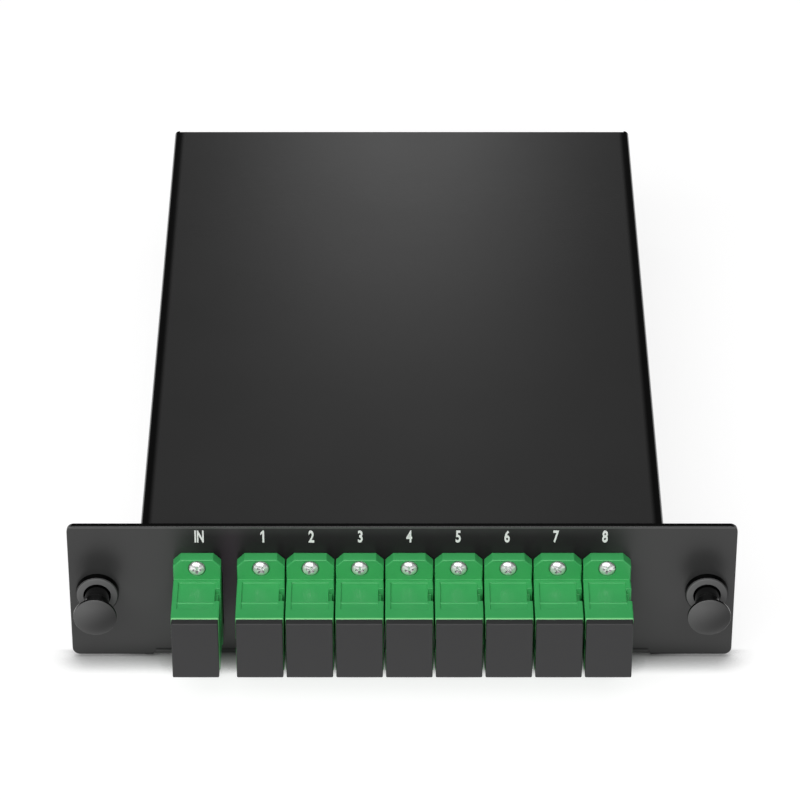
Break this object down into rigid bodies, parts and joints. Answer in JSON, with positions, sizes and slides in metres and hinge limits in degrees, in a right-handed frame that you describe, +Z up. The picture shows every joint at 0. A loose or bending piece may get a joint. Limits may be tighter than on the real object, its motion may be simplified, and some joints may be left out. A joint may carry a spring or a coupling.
{
  "type": "planar fibre-optic splitter cassette",
  "caption": "Black sheet-steel cassette with a row of green capped fibre adapters on its panel, push-pull latches in the ears, and a splitter and fibre spool inside.",
  "frame": {"origin": "bottom centre of the whole part's box, on the surface that it stands on", "axes": "+X to the right of the front panel, +Y from the panel to the back of the case, +Z up"},
  "size_m": [0.13, 0.171, 0.0317],
  "materials": {
    "black_powder_coat": "fine-textured satin black powder coat",
    "black_screw": "black-coated steel",
    "bright_screw": "bright nickel plate",
    "adapter_green": "semi-gloss moulded plastic",
    "core_white": "moulded white plastic",
    "cap_grey": "soft matt dark grey plastic",
    "plug_green": "semi-gloss moulded plastic",
    "latch_black": "satin black nylon",
    "spool_black": "moulded black plastic",
    "splitter_steel": "brushed, clear anodised",
    "clip_white": "moulded natural nylon",
    "tube_white": "smooth extruded jacket",
    "tube_blue": "smooth extruded jacket",
    "tube_orange": "smooth extruded jacket",
    "tube_green": "smooth extruded jacket",
    "tube_brown": "smooth extruded jacket",
    "tube_grey": "smooth extruded jacket",
    "tube_natural": "smooth extruded jacket",
    "tube_red": "smooth extruded jacket",
    "tube_black": "smooth extruded jacket"
  },
  "bodies": {
    "root": {"chassis": "black_powder_coat", "top_cover": "black_powder_coat", "cover_screws": "black_screw", "spool_screws": "black_screw", "adapter_screws": "bright_screw", "latch_grommet_left": "latch_black", "latch_grommet_right": "latch_black", "adapter_housing_in": "adapter_green", "adapter_core_in": "core_white", "rear_plug_in": "plug_green", "fibre_tube_in": "tube_white", "adapter_housing_1": "adapter_green", "adapter_core_1": "core_white", "rear_plug_1": "plug_green", "fibre_tube_1": "tube_blue", "adapter_housing_2": "adapter_green", "adapter_core_2": "core_white", "rear_plug_2": "plug_green", "fibre_tube_2": "tube_orange", "adapter_housing_3": "adapter_green", "adapter_core_3": "core_white", "rear_plug_3": "plug_green", "fibre_tube_3": "tube_green", "adapter_housing_4": "adapter_green", "adapter_core_4": "core_white", "rear_plug_4": "plug_green", "fibre_tube_4": "tube_brown", "adapter_housing_5": "adapter_green", "adapter_core_5": "core_white", "rear_plug_5": "plug_green", "fibre_tube_5": "tube_grey", "adapter_housing_6": "adapter_green", "adapter_core_6": "core_white", "rear_plug_6": "plug_green", "fibre_tube_6": "tube_natural", "adapter_housing_7": "adapter_green", "adapter_core_7": "core_white", "rear_plug_7": "plug_green", "fibre_tube_7": "tube_red", "adapter_housing_8": "adapter_green", "adapter_core_8": "core_white", "rear_plug_8": "plug_green", "fibre_tube_8": "tube_black", "fibre_spool": "spool_black", "splitter_module": "splitter_steel", "splitter_clip_front": "clip_white", "splitter_clip_back": "clip_white"},
    "plunger_left": {"latch_plunger_left": "latch_black"},
    "plunger_right": {"latch_plunger_right": "latch_black"},
    "cap_in": {"dust_cap_in": "cap_grey"},
    "cap_1": {"dust_cap_1": "cap_grey"},
    "cap_2": {"dust_cap_2": "cap_grey"},
    "cap_3": {"dust_cap_3": "cap_grey"},
    "cap_4": {"dust_cap_4": "cap_grey"},
    "cap_5": {"dust_cap_5": "cap_grey"},
    "cap_6": {"dust_cap_6": "cap_grey"},
    "cap_7": {"dust_cap_7": "cap_grey"},
    "cap_8": {"dust_cap_8": "cap_grey"}
  },
  "joints": [
    {"name": "latch_push_left", "type": "slide", "parent": "root", "child": "plunger_left", "axis": [0, 1, 0], "range_m": [0, 0.006]},
    {"name": "latch_push_right", "type": "slide", "parent": "root", "child": "plunger_right", "axis": [0, 1, 0], "range_m": [0, 0.006]},
    {"name": "cap_pull_in", "type": "slide", "parent": "root", "child": "cap_in", "axis": [0, -1, 0], "range_m": [0, 0.016]},
    {"name": "cap_pull_1", "type": "slide", "parent": "root", "child": "cap_1", "axis": [0, -1, 0], "range_m": [0, 0.016]},
    {"name": "cap_pull_2", "type": "slide", "parent": "root", "child": "cap_2", "axis": [0, -1, 0], "range_m": [0, 0.016]},
    {"name": "cap_pull_3", "type": "slide", "parent": "root", "child": "cap_3", "axis": [0, -1, 0], "range_m": [0, 0.016]},
    {"name": "cap_pull_4", "type": "slide", "parent": "root", "child": "cap_4", "axis": [0, -1, 0], "range_m": [0, 0.016]},
    {"name": "cap_pull_5", "type": "slide", "parent": "root", "child": "cap_5", "axis": [0, -1, 0], "range_m": [0, 0.016]},
    {"name": "cap_pull_6", "type": "slide", "parent": "root", "child": "cap_6", "axis": [0, -1, 0], "range_m": [0, 0.016]},
    {"name": "cap_pull_7", "type": "slide", "parent": "root", "child": "cap_7", "axis": [0, -1, 0], "range_m": [0, 0.016]},
    {"name": "cap_pull_8", "type": "slide", "parent": "root", "child": "cap_8", "axis": [0, -1, 0], "range_m": [0, 0.016]}
  ]
}
